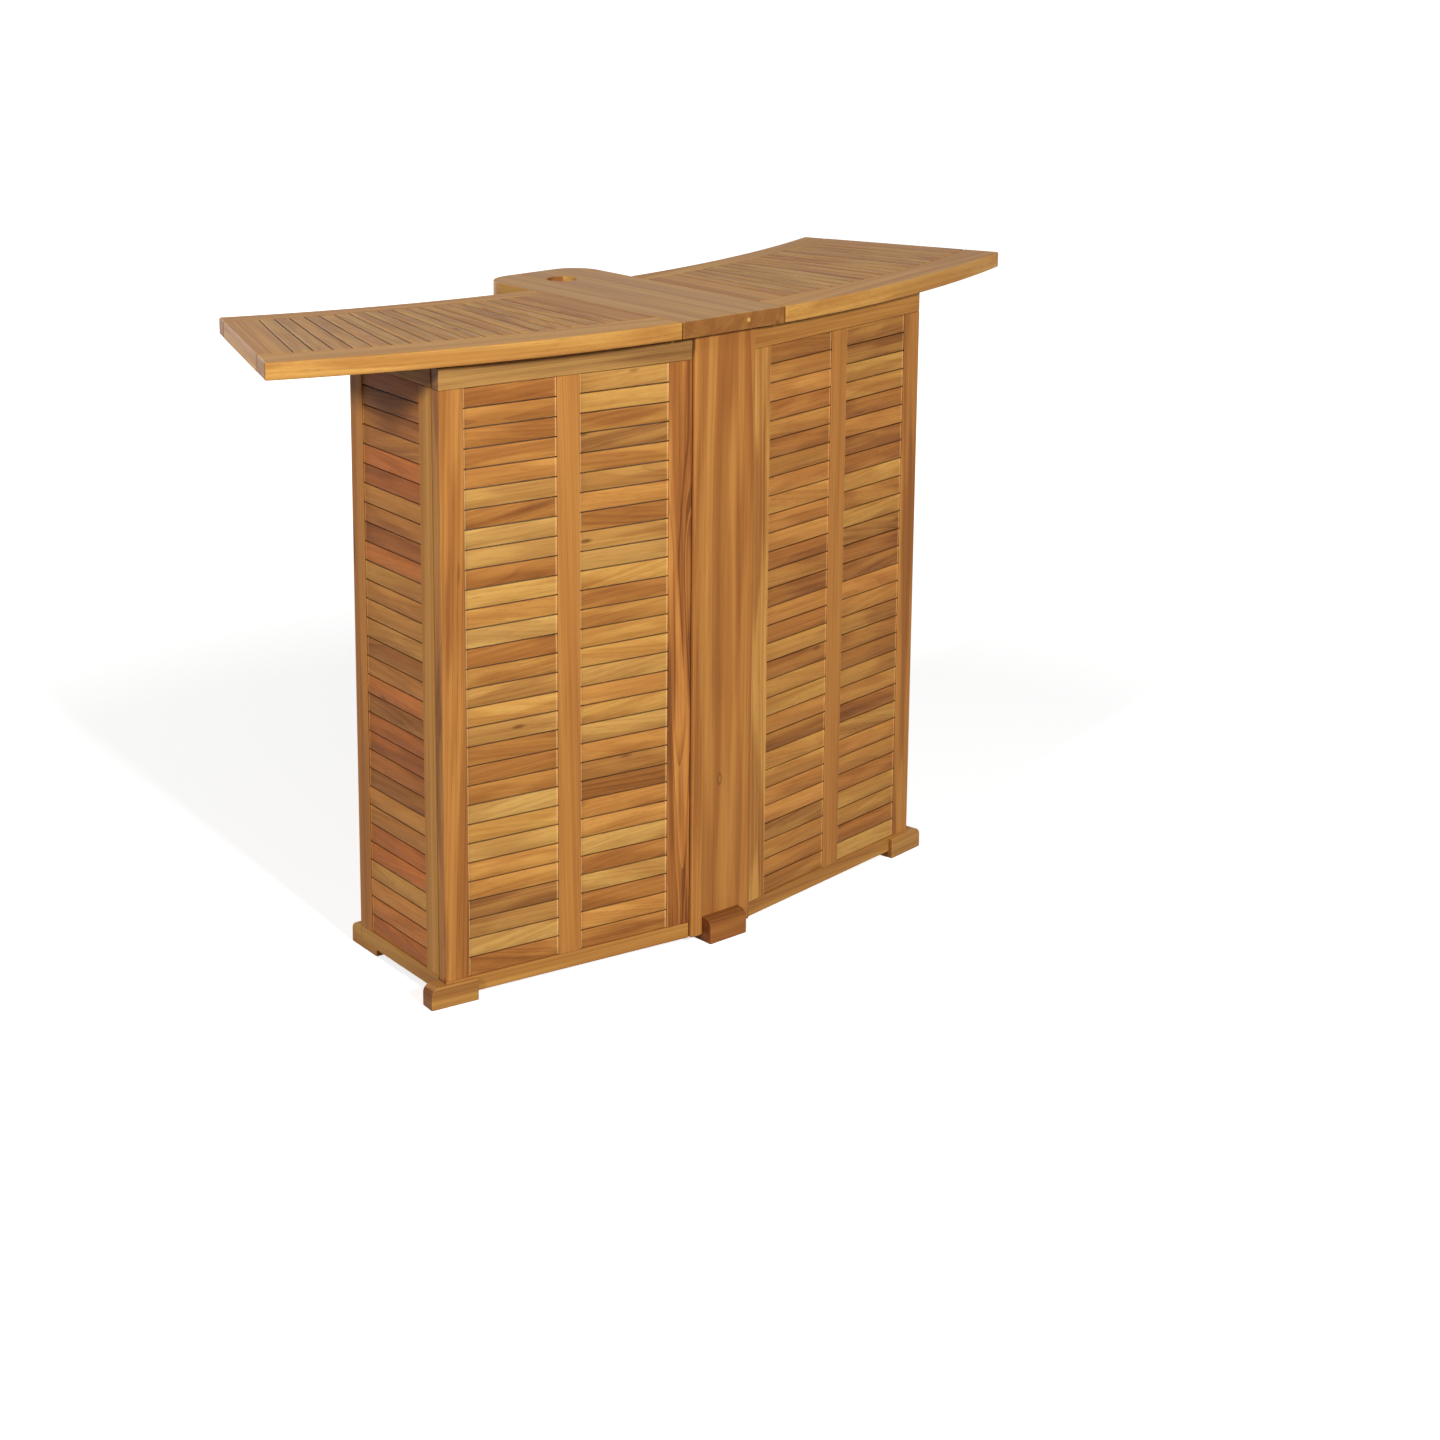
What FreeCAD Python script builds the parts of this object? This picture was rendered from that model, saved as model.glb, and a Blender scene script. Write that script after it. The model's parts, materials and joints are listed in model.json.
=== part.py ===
"""Folding garden bar table: a slim centre stand, two hinged front panels, two hinged side wings
and two hinged top leaves, all in hardwood with plain butt hinges.

Frame: millimetres, +Z up, origin on the floor under the middle of the top. The front, where guests
stand, faces -Y. Everything is drawn open, on the right-hand (+X) side, and mirrored to the left.
"""
import FreeCAD, Part
import math
import os

from FreeCAD import Placement, Rotation, Vector

doc = FreeCAD.newDocument("folding_bar_table")
sheet = doc.addObject("Spreadsheet::Sheet", "Sizes")

# Driving dimensions: millimetres and degrees.
SIZES = [
    ("top_height", 1045), ("top_thickness", 27), ("top_length", 1550),
    ("board_width", 214), ("board_depth", 516), ("board_corner_radius", 55),
    ("parasol_hole_radius", 25), ("parasol_hole_from_back", 86),
    ("leaf_gap", 2), ("leaf_outer_radius", 2040), ("leaf_width", 377),
    ("leaf_front_rail_width", 66), ("leaf_back_rail_width", 41),
    ("leaf_inner_rail_width", 66), ("leaf_end_rail_width", 55),
    ("leaf_slat_count", 18), ("leaf_slat_gap", 2.5), ("leaf_slat_thickness", 15),
    ("slat_seat_gap", 0.15),
    ("post_width", 128), ("post_thickness", 28), ("board_overhang", 20), ("post_gap", 2),
    ("ground_gap", 12), ("top_clearance", 6),
    ("frame_thickness", 22), ("panel_sweep_angle", 8.3), ("panel_length", 450),
    ("wing_length", 246), ("corner_angle", 92.7), ("wing_inset", 2), ("wing_edge_gap", 7),
    ("stile_width", 42), ("mullion_width", 41), ("wing_stile_width", 36),
    ("top_rail_height", 35), ("bottom_rail_height", 26),
    ("slat_count", 30), ("slat_gap", 1.8), ("slat_thickness", 9), ("slat_recess", 2.5),
    ("slat_housing", 6), ("housing_clearance", 0.5),
    ("foot_height", 36), ("foot_nose", 30), ("foot_radius", 14),
    ("panel_foot_length", 84), ("panel_foot_front", 8), ("wing_foot_length", 80),
    ("centre_foot_width", 80), ("centre_foot_length", 120), ("centre_foot_front", 20),
    ("centre_foot_height", 42), ("notch_clearance", 0.3),
    ("upright_width", 36), ("upright_depth", 40), ("upright_from_back", 124),
    ("bearer_height", 45), ("stretcher_height", 60), ("stretcher_width", 22),
    ("stretcher_ground_gap", 90),
    ("hinge_length", 63), ("hinge_barrel_radius", 4), ("hinge_plate_width", 30),
    ("hinge_plate_thickness", 2), ("hinge_pin_radius", 2), ("hinge_pin_clearance", 0.05),
    ("knuckle_gap", 0.4), ("barrel_clearance", 0.5),
    ("side_hinge_low", 98), ("side_hinge_middle", 489), ("side_hinge_high", 880),
    ("leaf_hinge_radius", 3.5), ("leaf_hinge_front", 104), ("leaf_hinge_back", 285),
    ("mortise_clearance", 0.2),
]
for row, (alias, value) in enumerate(SIZES, start=1):
    sheet.set("A%d" % row, alias)
    sheet.set("B%d" % row, str(value))
    sheet.setAlias("B%d" % row, alias)
doc.recompute()


def size(alias):
    return float(sheet.get(alias))


# Places worked out from the driving dimensions.
half_board = size("board_width") / 2
board_front = -size("board_depth") / 2
board_back = size("board_depth") / 2
underside = size("top_height") - size("top_thickness")
leaf_inner_x = half_board + size("leaf_gap")
leaf_axis_x = half_board + size("leaf_gap") / 2
leaf_axis_z = underside + size("hinge_plate_thickness") - size("leaf_hinge_radius")
sweep_centre_y = board_front + math.sqrt(size("leaf_outer_radius") ** 2 - leaf_inner_x ** 2)
leaf_end_angle = math.degrees(math.asin(size("top_length") / 2 / size("leaf_outer_radius")))
leaf_back_radius = size("leaf_outer_radius") - size("leaf_width")
field_outer_radius = size("leaf_outer_radius") - size("leaf_front_rail_width")
field_inner_radius = leaf_back_radius + size("leaf_back_rail_width")

half_post = size("post_width") / 2
post_front = board_front + size("board_overhang")
post_back = post_front + size("post_thickness")
barrel = size("hinge_barrel_radius")
frame_top = underside - size("top_clearance")

# Panel and wing frames lie between these two planes of their own hinge-axis frame,
# where local X runs along the frame away from the hinge and local Y points inside.
face_y = -barrel - size("frame_thickness")
inside_y = -barrel
panel_axis_x = half_post + size("post_gap") + barrel
panel_axis_y = post_back + barrel
panel_place = Placement(
    Vector(panel_axis_x, panel_axis_y, 0), Rotation(Vector(0, 0, 1), size("panel_sweep_angle")))
panel_start = -barrel - size("frame_thickness") * math.tan(math.radians(size("panel_sweep_angle")))
panel_end = panel_start + size("panel_length")
wing_axis_x = panel_end - size("wing_inset") + face_y
wing_place = panel_place.multiply(
    Placement(Vector(wing_axis_x, 0, 0), Rotation(Vector(0, 0, 1), 180 - size("corner_angle"))))
wing_start = size("wing_edge_gap") - barrel
wing_end = wing_start + size("wing_length")

# The two levels at which every side hinge sits, and the third level between post and panel.
wing_hinge_levels = (size("side_hinge_low"), size("side_hinge_high"))
panel_hinge_levels = wing_hinge_levels + (size("side_hinge_middle"),)

# How near an edge has to be to a plane to count as lying on it.
edge_tolerance = 0.1

subparts = []


def bind(feature, **expressions):
    for prop, expression in expressions.items():
        feature.setExpression(prop, expression)
    return feature


def add(kind, name, **properties):
    feature = doc.addObject(kind, name)
    for prop, value in properties.items():
        setattr(feature, prop, value)
    return feature


def box(name, corner, length, width, height, place=Placement()):
    """A box with one corner placed in a local frame. Each side is a number or an expression on the sheet."""
    feature = doc.addObject("Part::Box", name)
    for prop, side in (("Length", length), ("Width", width), ("Height", height)):
        if isinstance(side, str):
            feature.setExpression(prop, side)
        else:
            setattr(feature, prop, side)
    feature.Placement = place.multiply(Placement(Vector(*corner), Rotation()))
    return feature


def cut(name, base, *tools):
    for number, tool in enumerate(tools):
        last = number == len(tools) - 1
        base = add("Part::Cut", name if last else "%s_cut_%d" % (name, number), Base=base, Tool=tool)
    return base


def fillet(name, base, radius, wanted):
    """Round the edges of a computed feature whose bounding boxes are wanted."""
    rounded = add("Part::Fillet", name, Base=base)
    rounded.Edges = [(number, radius, radius) for number, edge in enumerate(base.Shape.Edges, start=1)
                     if wanted(edge.BoundBox)]
    return rounded


def solid_group(name, shapes):
    """Separate solids that share one node."""
    feature = doc.addObject("Part::Feature", name)
    feature.Shape = Part.makeCompound(shapes)
    return feature


def keep(feature, label):
    feature.Label = label
    subparts.append(feature)
    return feature


def keep_pair(feature, label):
    """Keep a right-hand piece and its mirror image on the left."""
    keep(feature, "right_" + label)
    image = add("Part::Mirroring", "left_" + label, Source=feature, Base=Vector(), Normal=Vector(1, 0, 0))
    keep(image, "left_" + label)


def moved(shape, place):
    copy = shape.copy()
    copy.Placement = place.multiply(copy.Placement)
    return copy


def hinge_leaf(radius, fixed):
    """One leaf of a butt hinge with a knuckle to each leaf, its pin on local Z and its plate on the -Y side.

    The moving leaf points along +X and turns on the upper half of the pin. The fixed leaf is the same
    leaf turned over, so it points along -X with the lower knuckle, and it carries the pin.
    """
    length, thickness = size("hinge_length"), size("hinge_plate_thickness")
    pin_radius = size("hinge_pin_radius")
    clear = radius + size("barrel_clearance")
    bottom = size("knuckle_gap") / 2
    height = length / 2 - bottom
    pin_end = Vector(0, 0, -length / 2)
    plate_width = size("hinge_plate_width") - clear
    plate = Part.makeBox(plate_width, thickness, length, Vector(clear, -radius, pin_end.z))
    tab = Part.makeBox(clear, thickness, height, Vector(0, -radius, bottom))
    knuckle = Part.makeCylinder(radius, height, Vector(0, 0, bottom))
    leaf = plate.fuse([tab, knuckle])
    if fixed:
        leaf = leaf.fuse(Part.makeCylinder(pin_radius, length, pin_end))
        leaf.rotate(Vector(), Vector(0, 1, 0), 180)
    else:
        leaf = leaf.cut(Part.makeCylinder(pin_radius + size("hinge_pin_clearance"), length, pin_end))
    return leaf.removeSplitter()


def make_board():
    """Centre board with rounded back corners, a parasol hole and mortises for the leaf hinges."""
    blank = box("board_blank", (-half_board, board_front, underside), "Sizes.board_width",
                "Sizes.board_depth", "Sizes.top_thickness")
    doc.recompute()
    rounded = fillet("board_rounded", blank, size("board_corner_radius"), lambda edge: (
        edge.ZLength > size("top_thickness") / 2 and edge.YMin > board_back - edge_tolerance))
    hole = doc.addObject("Part::Cylinder", "parasol_hole")
    bind(hole, Radius="Sizes.parasol_hole_radius", Height="Sizes.top_thickness")
    hole.Placement.Base = Vector(0, board_back - size("parasol_hole_from_back"), underside)
    tools = [hole]
    for side, sign in (("right", 1), ("left", -1)):
        tools += leaf_mortises(side + "_board", sign, inner=True)
    keep(cut("centre_board", rounded, *tools), "centre_board")


def leaf_hinge_stations():
    return [board_front + size("leaf_hinge_front"), board_front + size("leaf_hinge_back")]


def leaf_mortises(name, sign, inner):
    """Shallow recesses under the board or a leaf, open to the joint, that take the hinge plates."""
    near = half_board if inner else leaf_inner_x
    plate_reach = size("hinge_plate_width") + size("mortise_clearance")
    far = leaf_axis_x - plate_reach if inner else leaf_axis_x + plate_reach
    low_x = min(sign * near, sign * far)
    tools = []
    for number, middle in enumerate(leaf_hinge_stations()):
        start = middle - size("hinge_length") / 2 - size("mortise_clearance")
        tools.append(box("%s_mortise_%d" % (name, number), (low_x, start, underside), abs(far - near),
                         "Sizes.hinge_length + 2 * Sizes.mortise_clearance",
                         "Sizes.hinge_plate_thickness + Sizes.mortise_clearance"))
    return tools


def make_centre_stand():
    """Front post astride the centre foot, rear upright, and the two rails that join them."""
    post = box("post_blank", (-half_post, post_front, size("ground_gap")), "Sizes.post_width",
               "Sizes.post_thickness", "Sizes.top_height - Sizes.top_thickness - Sizes.ground_gap")
    half_foot = size("centre_foot_width") / 2
    clear = size("notch_clearance")
    notch = box("post_notch", (-half_foot - clear, post_front, size("ground_gap")),
                "Sizes.centre_foot_width + 2 * Sizes.notch_clearance", "Sizes.post_thickness",
                "Sizes.centre_foot_height + Sizes.notch_clearance - Sizes.ground_gap")
    keep(cut("centre_post", post, notch), "centre_post")

    foot_front = post_front - size("centre_foot_front")
    foot = box("foot_blank", (-half_foot, foot_front, 0), "Sizes.centre_foot_width",
               "Sizes.centre_foot_length", "Sizes.centre_foot_height")
    doc.recompute()
    keep(fillet("centre_foot", foot, size("foot_radius"), lambda edge: (
        edge.YMax < foot_front + edge_tolerance and edge.ZMin > size("centre_foot_height") - edge_tolerance)),
        "centre_foot")

    upright_y = board_back - size("upright_from_back") - size("upright_depth")
    half_upright = size("upright_width") / 2
    keep(box("rear_upright", (-half_upright, upright_y, 0), "Sizes.upright_width", "Sizes.upright_depth",
             "Sizes.top_height - Sizes.top_thickness - Sizes.bearer_height"), "rear_upright")
    keep(box("centre_bearer", (-half_upright, post_back, underside - size("bearer_height")),
             "Sizes.upright_width", upright_y + size("upright_depth") - post_back, "Sizes.bearer_height"),
         "centre_bearer")
    keep(box("centre_stretcher", (-size("stretcher_width") / 2, post_back, size("stretcher_ground_gap")),
             "Sizes.stretcher_width", upright_y - post_back, "Sizes.stretcher_height"), "centre_stretcher")


def leaf_disc(name, radius):
    """A full disc about the sweep centre, as thick as the top."""
    disc = doc.addObject("Part::Cylinder", name)
    disc.Radius = radius
    bind(disc, Height="Sizes.top_thickness")
    disc.Placement.Base = Vector(0, sweep_centre_y, underside)
    return disc


def leaf_sector(name, radius):
    """A disc sector from the centre plane to the leaf's end cut."""
    sector = leaf_disc(name, radius)
    sector.Angle = leaf_end_angle
    sector.Placement.Rotation = Rotation(Vector(0, 0, 1), -90)
    return sector


def make_leaf():
    """Swept leaf: front and back rails on two arcs, inner and end rails between, slats fanned."""
    reach = size("leaf_outer_radius")
    inner_block = box("leaf_inner_block", (leaf_inner_x - reach, board_front - reach, underside),
                      "Sizes.leaf_outer_radius", "Sizes.leaf_outer_radius * 4", "Sizes.top_thickness")
    ring_spans = (("leaf_front_rail", reach, field_outer_radius),
                  ("leaf_back_rail", field_inner_radius, leaf_back_radius))
    for label, outer, inner in ring_spans:
        sector = leaf_sector(label + "_sector", outer)
        keep_pair(cut(label, sector, leaf_disc(label + "_hollow", inner), inner_block), label)

    field = cut("leaf_field", leaf_disc("leaf_field_outer", field_outer_radius),
                leaf_disc("leaf_field_inner", field_inner_radius))
    inner_bar = box("leaf_inner_bar", (leaf_inner_x, board_front, underside),
                    "Sizes.leaf_inner_rail_width", "Sizes.board_depth", "Sizes.top_thickness")
    inner_rail = add("Part::Common", "leaf_inner_blank", Base=field, Tool=inner_bar)
    keep_pair(cut("leaf_inner_rail", inner_rail, *leaf_mortises("leaf", 1, inner=False)), "leaf_inner_rail")

    end_place = Placement(Vector(0, sweep_centre_y, underside), Rotation(Vector(0, 0, 1), leaf_end_angle))
    end_bar = box("leaf_end_bar", (-size("leaf_end_rail_width"), -reach, 0), "Sizes.leaf_end_rail_width",
                  "Sizes.leaf_outer_radius", "Sizes.top_thickness", end_place)
    keep_pair(add("Part::Common", "leaf_end_rail", Base=field, Tool=end_bar), "leaf_end_rail")
    keep_pair(solid_group("leaf_slats", leaf_slats()), "leaf_slats")


def field_angle_pair(radius):
    """Angles from the centre plane where the slat field starts and ends on an arc."""
    first = math.asin((leaf_inner_x + size("leaf_inner_rail_width")) / radius)
    last = math.radians(leaf_end_angle) - math.asin(size("leaf_end_rail_width") / radius)
    return first, last


def leaf_slats():
    """Tapered slats that turn evenly from the inner rail's direction to the end rail's."""
    count = int(size("leaf_slat_count"))
    half_gap = size("leaf_slat_gap") / 2
    seat = size("slat_seat_gap")
    thickness = size("leaf_slat_thickness")
    bottom = size("top_height") - thickness
    radii = (field_inner_radius + seat, field_outer_radius - seat)
    slats = []
    for number in range(count):
        corners = []
        for radius in radii:
            first, last = field_angle_pair(radius)
            step = (last - first) / count
            low = first + number * step + half_gap / radius
            high = first + (number + 1) * step - half_gap / radius
            corners.append([Vector(radius * math.sin(a), sweep_centre_y - radius * math.cos(a), bottom)
                            for a in (low, high)])
        (inner_low, inner_high), (outer_low, outer_high) = corners
        outline = Part.makePolygon([inner_low, outer_low, outer_high, inner_high, inner_low])
        slats.append(Part.Face(outline).extrude(Vector(0, 0, thickness)))
    return slats


def field_bottom():
    return size("ground_gap") + size("bottom_rail_height")


def frame_rails(name, place, start, end, trim=None):
    """Top and bottom rails over the frame's whole length, the stiles standing between them."""
    levels = (("top_rail", frame_top - size("top_rail_height"), "Sizes.top_rail_height"),
              ("bottom_rail", size("ground_gap"), "Sizes.bottom_rail_height"))
    for label, level, height in levels:
        node = "%s_%s" % (name, label)
        rail = box(node + "_blank", (start, face_y, level), end - start, "Sizes.frame_thickness", height,
                   place)
        keep_pair(cut(node, rail, trim) if trim else rail, node)


def stile(name, place, start, end, left_housing, right_housing, trim=None):
    """An upright between the rails, with a groove for the slat ends on each edge that has slats."""
    bottom = field_bottom()
    height = frame_top - size("top_rail_height") - bottom
    blank = box(name + "_blank", (start, face_y, bottom), end - start, "Sizes.frame_thickness", height, place)
    depth = size("slat_housing") + size("housing_clearance")
    groove_y = face_y + size("slat_recess") - size("housing_clearance") / 2
    tools = []
    for side, wanted, x in (("left", left_housing, start), ("right", right_housing, end - depth)):
        if wanted:
            tools.append(box("%s_%s_groove" % (name, side), (x, groove_y, bottom), depth,
                             "Sizes.slat_thickness + Sizes.housing_clearance", height, place))
    if trim:
        tools.append(trim)
    keep_pair(cut(name, blank, *tools), name)


def slat_column(name, place, start, end):
    """Horizontal slats housed at both ends, stacked evenly between the rails."""
    count = int(size("slat_count"))
    bottom = field_bottom()
    pitch = (frame_top - size("top_rail_height") - bottom) / count
    height = pitch - size("slat_gap")
    housed = size("slat_housing")
    lowest = bottom + size("slat_gap") / 2
    shapes = []
    for number in range(count):
        corner = Vector(start - housed, face_y + size("slat_recess"), lowest + number * pitch)
        slat = Part.makeBox(end - start + 2 * housed, size("slat_thickness"), height, corner)
        shapes.append(moved(slat, place))
    keep_pair(solid_group(name, shapes), name)


def side_hinges(name, place, fixed, levels):
    """Hinge leaves at several levels on one vertical axis."""
    leaf = hinge_leaf(barrel, fixed)
    shapes = [moved(leaf, place.multiply(Placement(Vector(0, 0, level), Rotation()))) for level in levels]
    keep_pair(solid_group(name, shapes), name)


def make_panel():
    """Front panel: two columns of slats either side of a mullion, on one bevelled hinge stile."""
    trim_x = half_post + size("post_gap")
    reach = size("panel_length")
    post_trim = box("post_side_trim", (trim_x - reach, post_front - reach, 0), "Sizes.panel_length",
                    "Sizes.panel_length * 2", "Sizes.top_height")
    start = panel_start - size("post_gap") - barrel
    frame_rails("panel", panel_place, start, panel_end, post_trim)

    inner_end = panel_start + size("stile_width")
    outer_start = panel_end - size("stile_width")
    mullion_start = (inner_end + outer_start - size("mullion_width")) / 2
    mullion_end = mullion_start + size("mullion_width")
    stile("panel_inner_stile", panel_place, start, inner_end, False, True, post_trim)
    stile("panel_mullion", panel_place, mullion_start, mullion_end, True, True)
    stile("panel_outer_stile", panel_place, outer_start, panel_end, True, False)
    slat_column("panel_inner_slats", panel_place, inner_end, mullion_start)
    slat_column("panel_outer_slats", panel_place, mullion_end, outer_start)

    side_hinges("panel_hinge_post_leaves", Placement(panel_place.Base, Rotation()), True, panel_hinge_levels)
    side_hinges("panel_hinge_panel_leaves", panel_place, False, panel_hinge_levels)
    wing_axis = panel_place.multiply(Placement(Vector(wing_axis_x, 0, 0), Rotation()))
    side_hinges("wing_hinge_panel_leaves", wing_axis, True, wing_hinge_levels)
    corner_foot("panel_foot", panel_place, panel_end, size("panel_foot_length"), size("panel_foot_front"))


def corner_foot(name, place, frame_end, length, stand_out):
    """Foot under a frame's outer bottom corner: its nose runs on past the frame and is rounded on top."""
    end = frame_end + size("foot_nose")
    start = end - length
    front = face_y - stand_out
    top = size("foot_height")
    block = Part.makeBox(length, inside_y - front, top, Vector(start, front, 0))
    nose = [edge for edge in block.Edges
            if edge.CenterOfMass.z > top - edge_tolerance and edge.CenterOfMass.x > end - edge_tolerance]
    rounded = add("Part::Feature", name + "_block", Shape=block.makeFillet(size("foot_radius"), nose),
                  Placement=place)
    rebate = box(name + "_rebate", (start, face_y, size("ground_gap")), frame_end - start,
                 "Sizes.frame_thickness", "Sizes.foot_height", place)
    keep_pair(cut(name, rounded, rebate), name)


def make_wing():
    """Side wing: one column of slats, hinged inside the panel's outer edge."""
    frame_rails("wing", wing_place, wing_start, wing_end)
    field_start = wing_start + size("wing_stile_width")
    field_end = wing_end - size("wing_stile_width")
    stile("wing_front_stile", wing_place, wing_start, field_start, False, True)
    stile("wing_rear_stile", wing_place, field_end, wing_end, True, False)
    slat_column("wing_slats", wing_place, field_start, field_end)
    side_hinges("wing_hinge_wing_leaves", wing_place, False, wing_hinge_levels)
    corner_foot("wing_foot", wing_place, wing_end, size("wing_foot_length"), 0)


def make_leaf_hinges():
    """Two small hinges let into the underside across each joint between board and leaf."""
    radius = size("leaf_hinge_radius")
    lay_down = Rotation(Vector(1, 0, 0), -90)
    for label, fixed in (("leaf_hinge_board_leaves", True), ("leaf_hinge_leaf_leaves", False)):
        leaf = hinge_leaf(radius, fixed)
        shapes = [moved(leaf, Placement(Vector(leaf_axis_x, station, leaf_axis_z), lay_down))
                  for station in leaf_hinge_stations()]
        keep_pair(solid_group(label, shapes), label)


def check_and_export():
    doc.recompute()
    for feature in doc.Objects:
        if "Invalid" in feature.State or "Error" in feature.State:
            raise RuntimeError("%s failed to compute" % feature.Name)
    os.makedirs("parts", exist_ok=True)
    for feature in subparts:
        shape = feature.Shape
        if shape.isNull() or not shape.isValid() or not shape.Solids:
            raise RuntimeError("%s has no valid solid" % feature.Label)
        shape.exportStep("parts/%s.step" % feature.Label)
    print("%d nodes" % len(subparts))
    print("panel axis", panel_place.Base, "wing axis", wing_place.Base)
    print("leaf axis x %.2f z %.2f" % (leaf_axis_x, leaf_axis_z))


make_board()
make_centre_stand()
make_leaf()
make_panel()
make_wing()
make_leaf_hinges()
check_and_export()
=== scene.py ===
import bpy, bmesh
import json, math, random
from mathutils import Matrix, Vector

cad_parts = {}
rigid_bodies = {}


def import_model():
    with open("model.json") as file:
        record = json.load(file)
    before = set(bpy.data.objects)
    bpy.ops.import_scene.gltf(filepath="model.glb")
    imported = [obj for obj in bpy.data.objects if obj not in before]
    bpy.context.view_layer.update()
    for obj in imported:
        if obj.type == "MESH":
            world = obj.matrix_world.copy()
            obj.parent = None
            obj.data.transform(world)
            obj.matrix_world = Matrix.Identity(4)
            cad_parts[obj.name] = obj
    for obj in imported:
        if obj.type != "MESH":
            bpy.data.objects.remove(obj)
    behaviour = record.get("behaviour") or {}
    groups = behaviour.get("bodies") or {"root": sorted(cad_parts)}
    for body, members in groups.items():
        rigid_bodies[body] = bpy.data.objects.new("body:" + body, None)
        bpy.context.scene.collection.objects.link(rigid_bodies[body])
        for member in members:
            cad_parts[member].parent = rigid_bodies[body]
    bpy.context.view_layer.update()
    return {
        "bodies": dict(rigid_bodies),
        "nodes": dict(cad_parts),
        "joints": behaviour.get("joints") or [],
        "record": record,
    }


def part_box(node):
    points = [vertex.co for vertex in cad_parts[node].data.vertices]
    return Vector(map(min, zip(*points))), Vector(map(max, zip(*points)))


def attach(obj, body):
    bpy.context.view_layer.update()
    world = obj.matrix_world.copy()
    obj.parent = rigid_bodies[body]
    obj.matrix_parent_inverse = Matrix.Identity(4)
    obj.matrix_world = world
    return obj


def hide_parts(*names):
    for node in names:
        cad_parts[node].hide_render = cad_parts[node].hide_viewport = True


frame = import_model()
scene = bpy.context.scene
bodyOf = {node: body for body, nodes in frame["record"]["behaviour"]["bodies"].items() for node in nodes}
jointAt = {joint["name"]: Vector(joint["pos_m"]) for joint in frame["joints"]}
sides = {"left": -1, "right": 1}
mm = 0.001
print("frame loaded:", len(frame["nodes"]), "nodes")

# The table's own directions: panels swept back from the post, wings turned in behind them, leaves on an arc.
plan = dict(panelTurn=math.radians(8.3), wingTurn=math.radians(95.6), topLevel=1.045,
            leafEnd=math.asin(775 / 2040),  # half the length over the front arc's radius, both in mm
            leafChord=math.radians(12.7), sweepCentre=1.77909)  # the arcs' centre lies behind the table


def linear(hexCode):
    parts = [int(hexCode[i:i + 2], 16) / 255 for i in (1, 3, 5)]
    return tuple(p / 12.92 if p <= 0.04045 else ((p + 0.055) / 1.055) ** 2.4 for p in parts) + (1.0,)


def addNode(tree, kind, inputs=None, stops=(), **settings):
    node = tree.nodes.new(kind)
    for name, value in settings.items():
        setattr(node, name, value)
    for number, (place, hexCode) in enumerate(stops):
        elements = node.color_ramp.elements
        element = elements[number] if number < len(elements) else elements.new(place)
        element.position, element.color = place, linear(hexCode)
    for name, source in (inputs or {}).items():
        if isinstance(source, bpy.types.NodeSocket):
            tree.links.new(source, node.inputs[name])
        else:
            node.inputs[name].default_value = source
    return node


# Oiled teak, planed and sanded: honey to red-brown heartwood in long streaks, rings and short dark pores.
teakLook = dict(
    stops=((0.0, "#DCAE5E"), (0.3, "#C69249"), (0.55, "#B17A3B"), (0.8, "#97602E"), (1.0, "#754521")),
    poreColour="#6A3D1E", endColour="#B59A90", oliveColour="#A58B58", redColour="#A8612F",
    wobbleLength=0.5, wobbleWidth=0.08, wobbleReach=0.020,  # the trunk wasn't quite straight; in metres
    ringSpacing=14 * mm, ringDetail=4.0, ringRoughness=0.65,
    streakWidth=4 * mm, streakLength=260 * mm, streakDetail=5.0, streakRoughness=0.72,
    poreWidth=1.7 * mm, poreLength=40 * mm,  # pores are 0.3 mm wide, drawn coarser so that they show
    poreSharpness=(0.56, 0.74), poreShare=0.22, poreRelief=-0.8,
    bandWidth=26 * mm, bandLength=190 * mm, bandSharpness=(0.40, 0.60),
    lineSpacing=9 * mm, lineWander=3.0, lineStart=0.35,  # a year's growth darkens slowly, then ends crisply
    ringAmount=0.26, lineAmount=0.14, streakAmount=0.34, bandAmount=0.22,
    oliveDarkens=0.25, endShare=0.75,
    knotSpacing=(220 * mm, 70 * mm), knotReach=(0.025, 0.07), knotShare=0.8,  # pin knots are few and small
    endHighlightAt=7.5 * mm, endHighlightReach=1.3 * mm, endHighlightShare=0.5, endHighlightColour="#E2BC80",  # painted highlight: a pale line at the visible slat ends, standing in for light caught by their eased end arrises
    gapShadeColour="#3A1E0E", gapShadeShare=0.5,  # painted shade: the faces inside the gaps between slats are darkened
    roughFrom=(0.3, 0.7), roughness=(0.40, 0.56), bumpStrength=0.35, bumpDepth=0.3 * mm, ior=1.48,
    sheen=0.10, boardSheen=0.17)  # the wide board is planed smoother than the rest

# The centre post: sapwood at the top of one edge, dark heartwood beside it, and a small teardrop of grain.
postLook = dict(sapEdge=0.0510, sapWander=0.006, wandersPerMetre=5.0, sapTop=1.0, sapEnd=0.72, sapTaper=0.014,
                sapBlur=2 * mm, sapShare=0.6, sapColour="#BC8142",
                heartWidth=22 * mm, heartShare=1.3, heartColour="#8F5124",
                markAt=(-0.0056, 0.274), markSize=(4.2 * mm, 8.5 * mm), markRim=(0.1, 0.55), markShare=0.55,
                markColour="#6F4020")


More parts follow.
